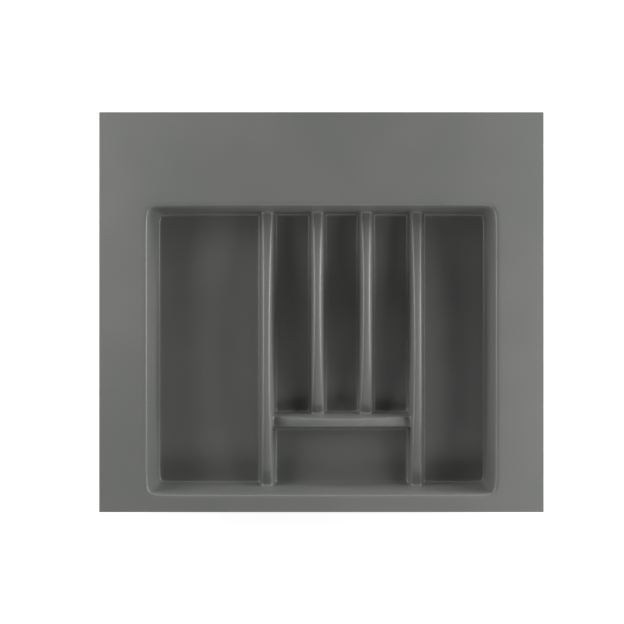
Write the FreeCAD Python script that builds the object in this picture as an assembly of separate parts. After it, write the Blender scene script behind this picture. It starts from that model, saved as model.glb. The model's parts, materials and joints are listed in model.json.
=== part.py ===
import FreeCAD, Part
import math
import os

# Cutlery tray for a kitchen drawer: one sheet of plastic, vacuum formed over a mould, with a flat flange
# that is trimmed to fit the drawer. Lengths in millimetres, +Z up, the rear of the drawer towards +Y.
# The origin is below the middle of the flange, on the plane that the bay floors rest on.

# Sheet
SHEET = 2.0  # thickness of the formed sheet
HEIGHT = 55.0  # from the underside of the floors to the top of the flange

# Flange widths, from the trimmed edge to the line where the planes of flange and wall meet
SIDE_FLANGE = 58.9
REAR_FLANGE = 114.4
FRONT_FLANGE = 21.6

# Bay floors, between the lines where the planes of the walls and ridges meet the floor
LEFT_BAY_W = 129.1
OUTER_SLOT_W = 44.35
MIDDLE_SLOT_W = 42.3
RIGHT_BAY_W = 78.7
SLOT_L = 251.5
FRONT_BAY_L = 70.3

# Walls
WALL_LEAN = 4.5  # how far a wall leans out from its foot to the flange
CORNER_R = 9.5  # corners of the basin in plan, at every height
FOOT_R = 5.0  # hollow fillet along the foot of every wall and ridge, on the upper side
RIM_INNER_R = 3.0  # roll from flange to wall, on the underside

# Ridges between the bays: straight drafted flanks under an arched top
RIDGE_DRAFT = math.radians(6.3)
RIDGE_FOOT_W = 18.6
CROSS_FOOT_W = 19.2
RIDGE_H = 36.0  # crown of every ridge, above the floor
LONG_RIDGE_END_H = 17.0  # where a full-length ridge meets the front and rear walls
SLOT_RIDGE_REAR_H = 18.0  # where a slot ridge meets the rear wall
SLOT_RIDGE_FRONT_H = 12.0  # where a slot ridge meets the cross ridge
CROSS_RIDGE_END_H = 19.0  # where the cross ridge meets the full-length ridges
RIDGE_TOP_R = 3.5  # roll along both edges of a ridge top, on the upper side

# Distance within which an edge counts as lying in a plane
IN_PLANE = 0.01

UP = FreeCAD.Vector(0, 0, 1)

# Plan of the floors, from the left wall to the right and from the front wall to the rear
FLOOR_W = LEFT_BAY_W + 2 * OUTER_SLOT_W + MIDDLE_SLOT_W + RIGHT_BAY_W + 4 * RIDGE_FOOT_W
FLOOR_L = FRONT_BAY_L + CROSS_FOOT_W + SLOT_L
WALL_DRAFT = math.atan(WALL_LEAN / (HEIGHT - SHEET))
FLANGE_W = FLOOR_W + 2 * (WALL_LEAN + SIDE_FLANGE)
FLANGE_L = FLOOR_L + 2 * WALL_LEAN + FRONT_FLANGE + REAR_FLANGE
FRONT_FOOT = FRONT_FLANGE + WALL_LEAN - FLANGE_L / 2
REAR_FOOT = FRONT_FOOT + FLOOR_L
CROSS_Y = FRONT_FOOT + FRONT_BAY_L + CROSS_FOOT_W / 2
LEFT_RIDGE_X = LEFT_BAY_W + RIDGE_FOOT_W / 2 - FLOOR_W / 2
LEFT_SLOT_X = LEFT_RIDGE_X + RIDGE_FOOT_W + OUTER_SLOT_W
RIGHT_SLOT_X = LEFT_SLOT_X + RIDGE_FOOT_W + MIDDLE_SLOT_W
RIGHT_RIDGE_X = RIGHT_SLOT_X + RIDGE_FOOT_W + OUTER_SLOT_W


def basin(depth):
    """Drafted space inside the four walls, to the surface that lies depth inside the sheet."""
    low = SHEET - depth
    high = HEIGHT + SHEET
    lean = math.tan(WALL_DRAFT)
    foot = depth / math.cos(WALL_DRAFT) - depth * lean
    mouth = depth / math.cos(WALL_DRAFT) + HEIGHT * lean
    # A wedge tapers along its own Y, so it is made lying down, with the front at +Z, and then set upright
    side = FLOOR_W / 2
    space = Part.makeWedge(
        -side - foot, low, -REAR_FOOT - foot, -REAR_FOOT - mouth, -side - mouth,
        side + foot, high, foot - FRONT_FOOT, mouth - FRONT_FOOT, side + mouth,
    )
    space.rotate(FreeCAD.Vector(0, 0, 0), FreeCAD.Vector(1, 0, 0), 90)
    uprights = [edge for edge in space.Edges if edge.BoundBox.ZLength > HEIGHT / 2]
    return space.makeFillet(CORNER_R + depth, uprights)


def ridge(depth, foot_w, start, end, start_h, end_h):
    """One ridge from start to end, points on the floor, to the surface depth inside the sheet.

    A drafted bar is cut to the cylinder whose arch runs through both end heights and the crown. It runs on
    past each end into what it meets. On the upper side both edges of its top are rolled, and the sheet
    hugs a sharp edge of the mould below them.
    """
    along = (end - start).normalize()
    across = UP.cross(along)
    length = start.distanceToPoint(end)

    low = SHEET - foot_w / 2
    high = SHEET + RIDGE_H + foot_w / 2 * math.tan(RIDGE_DRAFT)
    corners = []
    for z, side in ((low, -1), (low, 1), (high, 1), (high, -1)):
        half = foot_w / 2 - (z - SHEET) * math.tan(RIDGE_DRAFT) - depth / math.cos(RIDGE_DRAFT)
        corners.append(start - along * (foot_w / 2) + across * (side * half) + UP * z)
    section = Part.Face(Part.makePolygon(corners + corners[:1]))
    bar = section.extrude(along * (length + foot_w))

    start_drop = math.sqrt(RIDGE_H - start_h)
    end_drop = math.sqrt(RIDGE_H - end_h)
    crown = start + along * (length * start_drop / (start_drop + end_drop))
    side_view = Part.Arc(
        start + UP * (SHEET + start_h),
        crown + UP * (SHEET + RIDGE_H),
        end + UP * (SHEET + end_h),
    )
    arch = side_view.toShape().Curve
    drum = Part.makeCylinder(arch.Radius - depth, 2 * foot_w, arch.Center - across * foot_w, across)
    arched = bar.common(drum)
    if depth > 0:
        return arched
    top = max(arched.Faces, key=lambda face: face.CenterOfMass.z)
    long_edges = [edge for edge in top.Edges if edge.Length > length]
    return arched.makeFillet(RIDGE_TOP_R, long_edges)


def ridges(depth):
    """The two full-length ridges, the two slot ridges and the cross ridge in front of the slots."""
    made = []
    for x in (LEFT_RIDGE_X, RIGHT_RIDGE_X):
        front = FreeCAD.Vector(x, FRONT_FOOT, 0)
        rear = FreeCAD.Vector(x, REAR_FOOT, 0)
        made.append(ridge(depth, RIDGE_FOOT_W, front, rear, LONG_RIDGE_END_H, LONG_RIDGE_END_H))
    for x in (LEFT_SLOT_X, RIGHT_SLOT_X):
        front = FreeCAD.Vector(x, CROSS_Y + CROSS_FOOT_W / 2, 0)
        rear = FreeCAD.Vector(x, REAR_FOOT, 0)
        made.append(ridge(depth, RIDGE_FOOT_W, front, rear, SLOT_RIDGE_FRONT_H, SLOT_RIDGE_REAR_H))
    left = FreeCAD.Vector(LEFT_RIDGE_X + RIDGE_FOOT_W / 2, CROSS_Y, 0)
    right = FreeCAD.Vector(RIGHT_RIDGE_X - RIDGE_FOOT_W / 2, CROSS_Y, 0)
    # Run from right to left, the cross ridge has the seam of its cylinder below the floor
    made.append(ridge(depth, CROSS_FOOT_W, right, left, CROSS_RIDGE_END_H, CROSS_RIDGE_END_H))
    return made


def mould(depth, spare):
    """Everything below the surface that lies depth inside the sheet, out to spare beyond the flange.

    Depth 0 gives the upper side of the tray and a depth of one sheet gives its underside, because each
    plane, arch and fillet moves in by the same depth.
    """
    hollow = basin(depth).cut(ridges(depth))
    floor_z = SHEET - depth
    feet = [edge for edge in hollow.Edges if edge.BoundBox.ZMax < floor_z + IN_PLANE]
    hollow = hollow.makeFillet(FOOT_R + depth, feet)

    corner = FreeCAD.Vector(-FLANGE_W / 2 - spare, -FLANGE_L / 2 - spare, -HEIGHT - spare)
    block = Part.makeBox(FLANGE_W + 2 * spare, FLANGE_L + 2 * spare, 2 * HEIGHT + spare - depth, corner)
    formed = block.cut(hollow)
    flange_z = HEIGHT - depth
    rim = []
    for edge in formed.Edges:
        box = edge.BoundBox
        inside = box.XMin > IN_PLANE - FLANGE_W / 2 and box.XMax < FLANGE_W / 2 - IN_PLANE
        if inside and box.ZMin > flange_z - IN_PLANE:
            rim.append(edge)
    return formed.makeFillet(RIM_INNER_R + SHEET - depth, rim)


tray_shell = mould(0, 0).cut(mould(SHEET, HEIGHT))

os.makedirs("parts", exist_ok=True)
tray_shell.exportStep("parts/tray_shell.step")
box = tray_shell.BoundBox
print(f"tray_shell {box.XLength:.2f} x {box.YLength:.2f} x {box.ZLength:.2f} mm, from z {box.ZMin:.3f}")
print(f"solids {len(tray_shell.Solids)}, faces {len(tray_shell.Faces)}, valid {tray_shell.isValid()}")
print(f"mean thickness {2 * tray_shell.Volume / tray_shell.Area:.3f} mm, volume {tray_shell.Volume / 1000:.1f} cm3")
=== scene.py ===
# %% [markdown]
# # A cutlery tray in one formed sheet
# The tray is a drawer insert: one sheet of grey polystyrene, softened by heat, sucked over a mould and
# trimmed square. Flange, walls, floors and ridges are all that sheet, so nothing on it is a separate
# piece and every corner is a soft one. This lesson models the sheet as a coarse cage of quads, lets
# subdivision round it, and gives it the thickness of the sheet at the end.

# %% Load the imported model
import json
import math
from collections import namedtuple

import bmesh
import bpy
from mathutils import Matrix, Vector


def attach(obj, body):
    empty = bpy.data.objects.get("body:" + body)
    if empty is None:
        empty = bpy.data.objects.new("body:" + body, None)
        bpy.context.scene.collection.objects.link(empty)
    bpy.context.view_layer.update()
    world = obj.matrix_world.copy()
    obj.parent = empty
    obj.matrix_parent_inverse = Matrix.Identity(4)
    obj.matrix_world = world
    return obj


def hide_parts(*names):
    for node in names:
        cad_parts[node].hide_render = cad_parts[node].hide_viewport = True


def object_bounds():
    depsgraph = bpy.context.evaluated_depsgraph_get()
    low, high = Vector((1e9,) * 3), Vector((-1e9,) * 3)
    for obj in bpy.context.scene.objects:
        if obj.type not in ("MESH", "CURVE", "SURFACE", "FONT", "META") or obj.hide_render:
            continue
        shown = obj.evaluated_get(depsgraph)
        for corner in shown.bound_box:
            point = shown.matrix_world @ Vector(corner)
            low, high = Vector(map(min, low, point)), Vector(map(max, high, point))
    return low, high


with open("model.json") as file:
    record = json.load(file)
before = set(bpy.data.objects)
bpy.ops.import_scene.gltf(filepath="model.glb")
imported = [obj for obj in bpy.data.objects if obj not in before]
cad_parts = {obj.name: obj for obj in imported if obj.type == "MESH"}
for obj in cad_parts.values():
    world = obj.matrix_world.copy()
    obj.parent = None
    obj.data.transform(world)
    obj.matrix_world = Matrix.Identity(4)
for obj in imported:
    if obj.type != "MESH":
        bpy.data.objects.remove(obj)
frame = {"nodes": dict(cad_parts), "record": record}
cad_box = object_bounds()
print("nodes", sorted(frame["nodes"]), "box", [tuple(round(c, 4) for c in corner) for corner in cad_box])

# %% [markdown]
# ## Sizes
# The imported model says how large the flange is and, through the boxes that it states for the bays, where
# each ridge runs. What those boxes don't tell, such as the lean of the walls, is named here. The cage is
# built in millimetres, with heights measured from the upper side of the floors, and is turned into metres
# at the end.

# %% Sizes in millimetres
MM = 0.001
SHEET = 2.0
SIDE_FLANGE = 58.9
REAR_FLANGE = 114.4
FRONT_FLANGE = 21.6
WALL_LEAN = 4.5
CORNER_R = 9.5
RIDGE_HALF_W = 9.3
CROSS_HALF_W = 9.6
RIDGE_H = 36.0
LONG_END_H = 17.0
SLOT_FRONT_H = 12.0
SLOT_REAR_H = 18.0
CROSS_END_H = 19.0
RIDGE_SLOPE = math.tan(math.radians(6.3))

flange_x, flange_y, flange_z = cad_box[1] / MM
DEPTH = flange_z - SHEET
WALL_SLOPE = WALL_LEAN / DEPTH
side_foot = flange_x - SIDE_FLANGE - WALL_LEAN
front_foot = FRONT_FLANGE + WALL_LEAN - flange_y
rear_foot = flange_y - REAR_FLANGE - WALL_LEAN

bays = {opening["name"]: opening["box_m"] for opening in frame["record"]["physics"]["openings"]}


def ridge_middle(before, after, axis):
    """Middle of the ridge between two bays, from the boxes that the record states for them."""
    return (bays[before][1][axis] + bays[after][0][axis]) / 2 / MM


cross_y = ridge_middle("front_bay", "left_slot", 1)
print(f"floors {2 * side_foot:.1f} by {rear_foot - front_foot:.1f} mm, cross ridge at y {cross_y:.1f}")

# %% [markdown]
# ## Ridges
# Each ridge has straight, leaning flanks under a top that is arched along its length, highest near the
# middle and low where it runs into a wall or another ridge. A parabola through the two end heights and
# the crown is close to the real arch. Because the flanks lean and the foot is straight, the top comes out
# narrow where it is high.

# %% The five ridges
Ridge = namedtuple("Ridge", "middle half_w start end start_h end_h")
BAYS = ("left_bay", "left_slot", "middle_slot", "right_slot", "right_bay")
middles = [ridge_middle(before, after, 0) for before, after in zip(BAYS, BAYS[1:])]
left, right = [
    Ridge(x, RIDGE_HALF_W, front_foot, rear_foot, LONG_END_H, LONG_END_H) for x in (middles[0], middles[3])
]
slot_front = cross_y + CROSS_HALF_W
slot_left, slot_right = [
    Ridge(x, RIDGE_HALF_W, slot_front, rear_foot, SLOT_FRONT_H, SLOT_REAR_H) for x in middles[1:3]
]
cross = Ridge(
    cross_y, CROSS_HALF_W, left.middle + RIDGE_HALF_W, right.middle - RIDGE_HALF_W, CROSS_END_H, CROSS_END_H
)


def crest(ridge, along):
    """Height of a ridge's top above the floor."""
    start_drop = math.sqrt(RIDGE_H - ridge.start_h)
    end_drop = math.sqrt(RIDGE_H - ridge.end_h)
    fall = (start_drop + end_drop) / (ridge.end - ridge.start)
    crown = ridge.start + start_drop / fall
    return RIDGE_H - (fall * (along - crown)) ** 2


print("ridges along the tray at x", [round(x, 1) for x in middles], "and across it at y", round(cross_y, 1))

# %% [markdown]
# ## Lines of the cage
# Subdivision turns a pair of cage lines beside a corner into a round one, and the distance of the lines
# from the corner, called a reach here, sets the radius. So half a ridge takes six lines: two on the
# floor, three on the flank and one on the top. The same six serve a ridge that rises from another one, if
# the floor there is lifted to a base height.

# %% One half of a ridge's section
FOOT_REACH = 2.0
ROLL_REACH = 2.7
RIM_REACH = 2.8
CLEAR = 3.0  # a line that keeps the floor or flange flat lies this many reaches from the corner
ROLES = ("clear", "floor", "foot", "flank", "shoulder", "top")


def section(ridge, role, along, base=0.0):
    """Distance from the ridge's middle and height of one of its lines, where the floor lies at base."""
    top = crest(ridge, along)
    if role == "clear":
        height, aside = base, CLEAR * FOOT_REACH
    elif role == "floor":
        height, aside = base, FOOT_REACH
    elif role == "foot":
        height, aside = base + FOOT_REACH, 0.0
    elif role == "flank":
        height, aside = (base + top) / 2, 0.0
    elif role == "shoulder":
        height, aside = top - ROLL_REACH, 0.0
    else:
        height, aside = top, -ROLL_REACH
    return ridge.half_w - height * RIDGE_SLOPE + aside, height


for role in ROLES:
    aside, height = section(left, role, cross_y)
    print(f"left ridge, {role}: {aside:.1f} mm from the middle, {height:.1f} mm high")

# %% Columns and rows
Line = namedtuple("Line", "ridge side role at")
SLOT_STEPS = 6
FRONT_STEPS = 2


def plain(at):
    return Line(None, 0, "plain", at)


def wall(side, at):
    return Line(None, side, "wall", at)


def across(ridge):
    """The twelve lines over a ridge, from its low side to its high side."""
    before = [Line(ridge, -1, role, ridge.middle - ridge.half_w) for role in ROLES]
    after = [Line(ridge, 1, role, ridge.middle + ridge.half_w) for role in reversed(ROLES)]
    return before + after


columns = [wall(-1, -side_foot), plain(CORNER_R - side_foot)]
for ridge in (left, slot_left, slot_right, right):
    columns += across(ridge)
columns += [plain(side_foot - CORNER_R), wall(1, side_foot)]

front_room = cross.middle - cross.half_w - CLEAR * FOOT_REACH - front_foot - CORNER_R
rear_room = rear_foot - CORNER_R - cross.middle - cross.half_w - CLEAR * FOOT_REACH
rows = [wall(-1, front_foot)]
rows += [plain(front_foot + CORNER_R + front_room * step / FRONT_STEPS) for step in range(FRONT_STEPS)]
rows += across(cross)
rows += [plain(rear_foot - CORNER_R - rear_room * step / SLOT_STEPS) for step in reversed(range(SLOT_STEPS))]
rows += [wall(1, rear_foot)]
print(len(columns), "columns and", len(rows), "rows")

# %% [markdown]
# ## The floor grid
# One grid covers the floors and all the ridges. Where a column of a ridge crosses a row of the cross
# ridge, one of the two is the floor of the other: the full-length ridges rise from the cross ridge's end,
# and the cross ridge rises from the front ends of the two slot ridges. Near a wall, the last row lies
# just inside the foot fillet.

# %% Place of a crossing
# Share of a corner's radius by which a cage corner stays inside, so that it rounds to that radius
ARC_PULL = 0.189


def place(column, row):
    """Where a column of the cage crosses a row, in millimetres."""
    x, y, z = column.at, row.at, 0.0
    slot_ridge = column.ridge in (slot_left, slot_right)
    past_its_end = slot_ridge and row.at <= slot_front
    if column.ridge:
        aside, _ = section(column.ridge, column.role, max(y, column.ridge.start))
        x = column.ridge.middle + column.side * aside
    if row.ridge:
        base = 0.0
        if slot_ridge and row.side > 0:
            foot_y = row.at + (CLEAR if row.role == "clear" else 1.0) * FOOT_REACH
            base = section(column.ridge, column.role, foot_y)[1]
        aside, rise = section(cross, row.role, min(max(x, cross.start), cross.end), base)
        y = cross.middle + row.side * aside
        if left.middle < x < right.middle:
            z = rise
    if column.ridge and not past_its_end:
        aside, z = section(column.ridge, column.role, y, 0.0 if slot_ridge else z)
        x = column.ridge.middle + column.side * aside
    inner_corner = ARC_PULL * (CORNER_R - FOOT_REACH) if column.role == row.role == "wall" else 0.0
    if column.role == "wall":
        x -= column.side * (FOOT_REACH + inner_corner)
    if row.role == "wall":
        y += row.side * (z * WALL_SLOPE - FOOT_REACH - inner_corner)
    return Vector((x, y, z))


# %% Make the grid
cage = bmesh.new()
bmesh.ops.create_grid(cage, x_segments=len(columns) - 1, y_segments=len(rows) - 1, size=1.0)
outward = cage.verts.layers.float_vector.new("outward")
sharp = cage.verts.layers.float.new("crease_vert")
row_by_row = sorted(cage.verts, key=lambda vert: (round(vert.co.y, 6), round(vert.co.x, 6)))
for index, vert in enumerate(row_by_row):
    row = rows[index // len(columns)]
    column = columns[index % len(columns)]
    vert.co = place(column, row)
    if "wall" in (column.role, row.role):
        side_x = column.side if column.role == "wall" else 0
        side_y = row.side if row.role == "wall" else 0
        vert[outward] = (side_x, side_y, vert.co.z)
print(len(cage.faces), "quads in the floor grid")

# %% [markdown]
# ## Walls, rim and flange
# The open edge of the grid is extruded ring by ring: up the leaning wall, round the rim and out over the
# flange to the trimmed edge. Each vertex remembers which way is outward and how high the floor was under
# it, so a ring is placed by one rule. The four corners keep one radius all the way up the wall and only
# widen round the rim.

# %% Extrude the rings
def ring_place(vert, height, beyond):
    """Place of a ring's vertex at a height on the wall, moved outward beyond the wall."""
    side_x, side_y, _ = vert[outward]
    spread = height * WALL_SLOPE + beyond
    pull = ARC_PULL * (CORNER_R + beyond) if side_x and side_y else 0.0
    x, y = vert.co.x, vert.co.y
    if side_x:
        x = side_x * (side_foot + spread - pull)
    if side_y:
        y = (rear_foot if side_y > 0 else front_foot) + side_y * (spread - pull)
    return Vector((x, y, height))


def trimmed_place(vert):
    """Place of a ring's vertex on the trimmed edge of the flange."""
    side_x, side_y, _ = vert[outward]
    x = side_x * flange_x if side_x else vert.co.x
    y = side_y * flange_y if side_y else vert.co.y
    return Vector((x, y, DEPTH))


def extrude_ring(where):
    """Extrudes the open edge, puts each new vertex where the rule says, and returns the new vertices."""
    edges = [edge for edge in cage.edges if edge.is_boundary]
    made = bmesh.ops.extrude_edge_only(cage, edges=edges)
    verts = [item for item in made["geom"] if isinstance(item, bmesh.types.BMVert)]
    for vert in verts:
        vert.co = where(vert)
    return verts


extrude_ring(lambda vert: ring_place(vert, vert[outward].z + FOOT_REACH, 0.0))
extrude_ring(lambda vert: ring_place(vert, (vert[outward].z + DEPTH) / 2, 0.0))
extrude_ring(lambda vert: ring_place(vert, DEPTH - RIM_REACH, 0.0))
extrude_ring(lambda vert: ring_place(vert, DEPTH, RIM_REACH))
extrude_ring(lambda vert: ring_place(vert, DEPTH, CLEAR * RIM_REACH))
trimmed = extrude_ring(trimmed_place)
for vert in trimmed:
    side_x, side_y, _ = vert[outward]
    vert[sharp] = 1.0 if side_x and side_y else 0.0
bmesh.ops.recalc_face_normals(cage, faces=cage.faces)
if sum(face.normal.z for face in cage.faces) < 0:
    bmesh.ops.reverse_faces(cage, faces=cage.faces)
print(len(cage.faces), "quads in the whole cage")

# %% [markdown]
# ## Sheet
# Subdivision rounds the cage, and Solidify then gives the skin its two millimetres downwards, so the
# underside follows the upper side as a formed sheet does. The result is kept as a plain mesh, in metres,
# so that the cut edge of the flange can be broken with a tiny bevel, as a trimming knife and a wipe with
# a scraper leave it. The bevel's border is marked sharp, because smooth shading would otherwise bend the
# light on the flat flange beside it.

# %% Round the cage and give it thickness
ROUNDING_LEVELS = 2
bmesh.ops.translate(cage, verts=cage.verts, vec=(0.0, 0.0, SHEET))
bmesh.ops.scale(cage, verts=cage.verts, vec=(MM, MM, MM))
cage_mesh = bpy.data.meshes.new("tray_cage")
cage.to_mesh(cage_mesh)
cage.free()
cage_object = bpy.data.objects.new("tray_cage", cage_mesh)
bpy.context.collection.objects.link(cage_object)
rounding = cage_object.modifiers.new("rounding", "SUBSURF")
rounding.levels = ROUNDING_LEVELS
rounding.render_levels = ROUNDING_LEVELS
thickness = cage_object.modifiers.new("sheet", "SOLIDIFY")
thickness.thickness = SHEET * MM
thickness.offset = -1.0
thickness.use_even_offset = True
bpy.context.view_layer.update()
depsgraph = bpy.context.evaluated_depsgraph_get()
sheet_mesh = bpy.data.meshes.new_from_object(cage_object.evaluated_get(depsgraph))
bpy.data.objects.remove(cage_object)
print(len(sheet_mesh.polygons), "faces in the rounded sheet")

# %% Break the cut edge
EDGE_BREAK = 0.25
CUT_ANGLE = math.radians(60)
sheet = bmesh.new()
sheet.from_mesh(sheet_mesh)
cut_edges = [edge for edge in sheet.edges if edge.calc_face_angle(0.0) > CUT_ANGLE]
bevelled = bmesh.ops.bevel(
    sheet, geom=cut_edges, offset=EDGE_BREAK * MM, offset_type="OFFSET", affect="EDGES",
    segments=2, profile=0.5, material=-1,
)
broken = set(bevelled["faces"])
for face in sheet.faces:
    face.smooth = True
for edge in sheet.edges:
    edge.smooth = len(broken.intersection(edge.link_faces)) != 1
sheet.to_mesh(sheet_mesh)
sheet.free()
tray = bpy.data.objects.new("formed_tray", sheet_mesh)
bpy.context.collection.objects.link(tray)
sheet_mesh.calc_loop_triangles()
print(len(cut_edges), "cut edges broken,", len(sheet_mesh.loop_triangles), "triangles in the sheet")

# %% [markdown]
# ## Polystyrene
# High-impact polystyrene sheet is coloured right through and leaves the extruder's rolls with a fine matt
# grain, which is drawn here as a bump of noise. Where forming has stretched the sheet round a roll or up
# a wall, the grain is pulled flat and shines more, so the roughness drops as soon as the surface leans.
# That keeps the bright lines along the ridges while the flange stays matt. A tone that drifts by a few
# grey levels across the tray stands for the cloudiness of sheet that has been heated again.

# %% Colours and nodes
def linear(code):
    """An sRGB hex colour as linear RGBA."""
    channels = [int(code[start:start + 2], 16) / 255 for start in (1, 3, 5)]
    return [c / 12.92 if c <= 0.04045 else ((c + 0.055) / 1.055) ** 2.4 for c in channels] + [1.0]


def add_node(tree, kind, settings=None, inputs=None, links=None):
    """Adds a node, sets its properties and sockets, and links sockets to (node, output) pairs."""
    node = tree.nodes.new(kind)
    for name, value in (settings or {}).items():
        setattr(node, name, value)
    for name, value in (inputs or {}).items():
        node.inputs[name].default_value = value
    for name, (source, output) in (links or {}).items():
        tree.links.new(source.outputs[output], node.inputs[name])
    return node


WHITE = linear("#ffffff")

# %% Polystyrene sheet
GRAIN = 1.4  # millimetres; the real grain is near 0.2, finer than a pixel, so it is drawn this coarse
GRAIN_DEPTH = 0.02
GRAIN_STRENGTH = 0.5
PATCH = 90.0
TONES = ((0.3, "#6e706d"), (0.7, "#747573"))  # place on the ramp and colour
REFRACTION = 1.59  # polystyrene
FLAT_ROUGHNESS = 0.6
DRAWN_ROUGHNESS = 0.37
DRAWN_Z, FLAT_Z = 0.93, 0.995  # upright part of the normal, on a leaning surface and on a level one
polystyrene = bpy.data.materials.new("polystyrene_sheet_matt_grey")
polystyrene.use_nodes = True
tree = polystyrene.node_tree
tree.nodes.clear()
place_on_sheet = add_node(tree, "ShaderNodeTexCoord")
on_sheet = {"Vector": (place_on_sheet, "Object")}
patches = add_node(
    tree, "ShaderNodeTexNoise", inputs={"Scale": 1 / (PATCH * MM), "Detail": 1.0}, links=on_sheet
)
tone = add_node(tree, "ShaderNodeValToRGB", links={"Fac": (patches, "Fac")})
for stop, (position, code) in zip(tone.color_ramp.elements, TONES):
    stop.position = position
    stop.color = linear(code)
grain = add_node(
    tree, "ShaderNodeTexNoise", inputs={"Scale": 1 / (GRAIN * MM), "Detail": 2.0}, links=on_sheet
)
relief = add_node(
    tree, "ShaderNodeBump", inputs={"Strength": GRAIN_STRENGTH, "Distance": GRAIN_DEPTH * MM},
    links={"Height": (grain, "Fac")},
)
facing = add_node(tree, "ShaderNodeSeparateXYZ", links={"Vector": (place_on_sheet, "Normal")})
level = add_node(tree, "ShaderNodeMath", {"operation": "ABSOLUTE"}, links={0: (facing, "Z")})
sheen = add_node(
    tree, "ShaderNodeMapRange",
    inputs={"From Min": DRAWN_Z, "From Max": FLAT_Z, "To Min": DRAWN_ROUGHNESS, "To Max": FLAT_ROUGHNESS},
    links={"Value": (level, "Value")},
)
shader = add_node(
    tree, "ShaderNodeBsdfPrincipled", inputs={"IOR": REFRACTION},
    links={"Base Color": (tone, "Color"), "Roughness": (sheen, "Result"), "Normal": (relief, "Normal")},
)
add_node(tree, "ShaderNodeOutputMaterial", links={"Surface": (shader, "BSDF")})
sheet_mesh.materials.clear()
sheet_mesh.materials.append(polystyrene)
print(polystyrene.name, "with", len(tree.nodes), "nodes")

# %% [markdown]
# ## The piece in the frame
# Nothing on the tray moves, so the one piece rides on the root body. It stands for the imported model's
# shell, which is then hidden.

# %% Hand the piece to the frame
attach(tray, "root")
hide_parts("tray_shell")
print(tray.name, "replaces tray_shell, size in metres", tuple(round(c, 4) for c in tray.dimensions))

# %% [markdown]
# ## White ground
# The photo shows the tray cut out on pure white. A ground of white paper, lit like the tray, would come
# out grey here and there, so it also glows for the rays that only look at it: from the camera, and in
# gloss or glass. Near the tray the glow stays well below 1, which keeps the tray's shadow, and it grows
# to pure white where the lamps no longer reach. It sheds no light on the tray itself.

# %% Ground
NEAR, NEAR_GLOW = 0.4, 0.73  # metres from the tray's middle, and strength of the glow there
FAR, FAR_GLOW = 1.1, 1.0
PAPER = "#c4c4c4"  # dimmer than real paper, because the glow adds to it and both together are just white
GROUND_HALF = 4.0
GROUND_GAP = 0.0002
ground_mesh = bpy.data.meshes.new("ground")
ground_form = bmesh.new()
bmesh.ops.create_grid(ground_form, x_segments=1, y_segments=1, size=GROUND_HALF)
ground_form.to_mesh(ground_mesh)
ground_form.free()
ground = bpy.data.objects.new("ground", ground_mesh)
bpy.context.collection.objects.link(ground)
ground.location.z = -GROUND_GAP
paper = bpy.data.materials.new("white_paper")
paper.use_nodes = True
tree = paper.node_tree
tree.nodes.clear()
path = add_node(tree, "ShaderNodeLightPath")
lit = add_node(tree, "ShaderNodeBsdfDiffuse", inputs={"Color": linear(PAPER)})
on_ground = add_node(tree, "ShaderNodeTexCoord")
away = add_node(tree, "ShaderNodeVectorMath", {"operation": "LENGTH"}, links={0: (on_ground, "Object")})
glow_there = add_node(
    tree, "ShaderNodeMapRange",
    inputs={"From Min": NEAR, "From Max": FAR, "To Min": NEAR_GLOW, "To Max": FAR_GLOW},
    links={"Value": (away, "Value")},
)
glow = add_node(
    tree, "ShaderNodeEmission", inputs={"Color": WHITE}, links={"Strength": (glow_there, "Result")}
)
glowing = add_node(tree, "ShaderNodeAddShader", links={0: (lit, "BSDF"), 1: (glow, "Emission")})
opaque = add_node(
    tree, "ShaderNodeMath", {"operation": "MAXIMUM"},
    links={0: (path, "Is Camera Ray"), 1: (path, "Is Glossy Ray")},
)
looking = add_node(
    tree, "ShaderNodeMath", {"operation": "MAXIMUM"},
    links={0: (opaque, "Value"), 1: (path, "Is Transmission Ray")},
)
seen = add_node(
    tree, "ShaderNodeMixShader", links={0: (looking, "Value"), 1: (lit, "BSDF"), 2: (glowing, "Shader")}
)
add_node(tree, "ShaderNodeOutputMaterial", links={"Surface": (seen, "Shader")})
ground_mesh.materials.append(paper)
print("ground", tuple(ground.dimensions))

# %% [markdown]
# ## World
# Seen straight on, the world is white like the ground. As a source of light it is nearly dark: the narrow
# bays are far darker than the flange in the photo, so little light comes from overhead. Gloss sees the
# dark world too, because even the faint gloss of matt plastic would lay a pale veil over the bays if it
# mirrored a white sky.

# %% World
SKY_LIGHT = 0.02
world = bpy.data.worlds.new("studio")
bpy.context.scene.world = world
world.use_nodes = True
tree = world.node_tree
tree.nodes.clear()
path = add_node(tree, "ShaderNodeLightPath")
dim = add_node(tree, "ShaderNodeBackground", inputs={"Color": WHITE, "Strength": SKY_LIGHT})
white = add_node(tree, "ShaderNodeBackground", inputs={"Color": WHITE, "Strength": 1.0})
sky = add_node(
    tree, "ShaderNodeMixShader",
    links={0: (path, "Is Camera Ray"), 1: (dim, "Background"), 2: (white, "Background")},
)
add_node(tree, "ShaderNodeOutputWorld", links={"Surface": (sky, "Shader")})
print("world lights the tray with a strength of", SKY_LIGHT)

# %% [markdown]
# ## Softboxes
# The bright lines on the right of every ridge, the bright left wall and the dim right one show where the
# light stood: low softboxes on both sides, the stronger one on the right, with weaker ones behind and in
# front. Each is an area lamp given by its direction, counted in degrees from the tray's right, its
# distance and its height.

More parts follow.
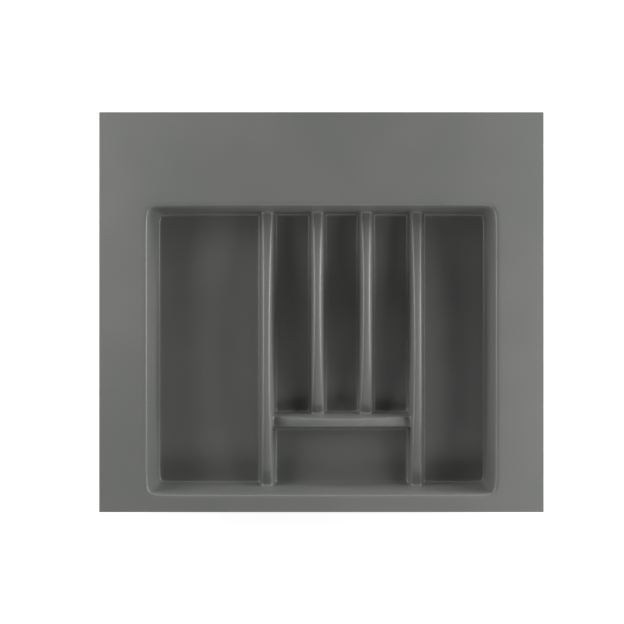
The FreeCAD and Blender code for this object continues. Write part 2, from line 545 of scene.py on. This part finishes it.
# %% Lamps round the tray
AIM = Vector((0.0, 0.0, 0.05))
Softbox = namedtuple("Softbox", "name direction distance height wide tall watts")
softboxes = [
    Softbox("right_low", 9, 0.95, 0.21, 0.9, 0.14, 6.9),
    Softbox("right_high", 22, 0.95, 0.48, 0.8, 0.3, 4.2),
    Softbox("right_near", 340, 0.6, 0.36, 0.6, 0.2, 0.85),
    Softbox("left_low", 190, 0.9, 0.18, 0.9, 0.3, 3.3),
    Softbox("left_high", 160, 0.8, 0.4, 0.8, 0.4, 4.5),
    Softbox("rear", 90, 0.95, 0.23, 1.0, 0.36, 4.2),
    Softbox("front_low", 268, 0.8, 0.2, 1.4, 0.3, 1.9),
    Softbox("front_high", 278, 0.73, 0.67, 0.8, 0.3, 1.6),
]
for box in softboxes:
    lamp = bpy.data.lights.new(box.name, "AREA")
    lamp.shape = "RECTANGLE"
    lamp.size = box.wide
    lamp.size_y = box.tall
    lamp.energy = box.watts
    holder = bpy.data.objects.new(box.name, lamp)
    bpy.context.collection.objects.link(holder)
    turn = math.radians(box.direction)
    holder.location = (box.distance * math.cos(turn), box.distance * math.sin(turn), box.height)
    holder.rotation_euler = (AIM - holder.location).to_track_quat("-Z", "Y").to_euler()
print(len(softboxes), "softboxes with", round(sum(box.watts for box in softboxes), 1), "watts")

# %% [markdown]
# ## Camera
# The camera looks straight down. How far the ridge tops spread from their feet tells how high it stood,
# about 1.26 m above the flange, and the point where they don't spread at all tells that it stood a little
# right of the tray's middle and behind it. The shift then puts the tray where it lies in the square
# picture.

# %% Camera
CAMERA_X, CAMERA_Y = 0.0088, 0.0226
ABOVE_FLANGE = 1.26
camera_data = bpy.data.cameras.new("camera")
camera_data.lens = 59.85
camera_data.sensor_width = 36.0
camera_data.shift_x = -0.0267
camera_data.shift_y = -0.0296
camera = bpy.data.objects.new("camera", camera_data)
bpy.context.collection.objects.link(camera)
camera.location = (CAMERA_X, CAMERA_Y, flange_z * MM + ABOVE_FLANGE)
bpy.context.scene.camera = camera
bpy.context.scene.view_settings.view_transform = "Standard"
print("camera at", tuple(round(c, 4) for c in camera.location))
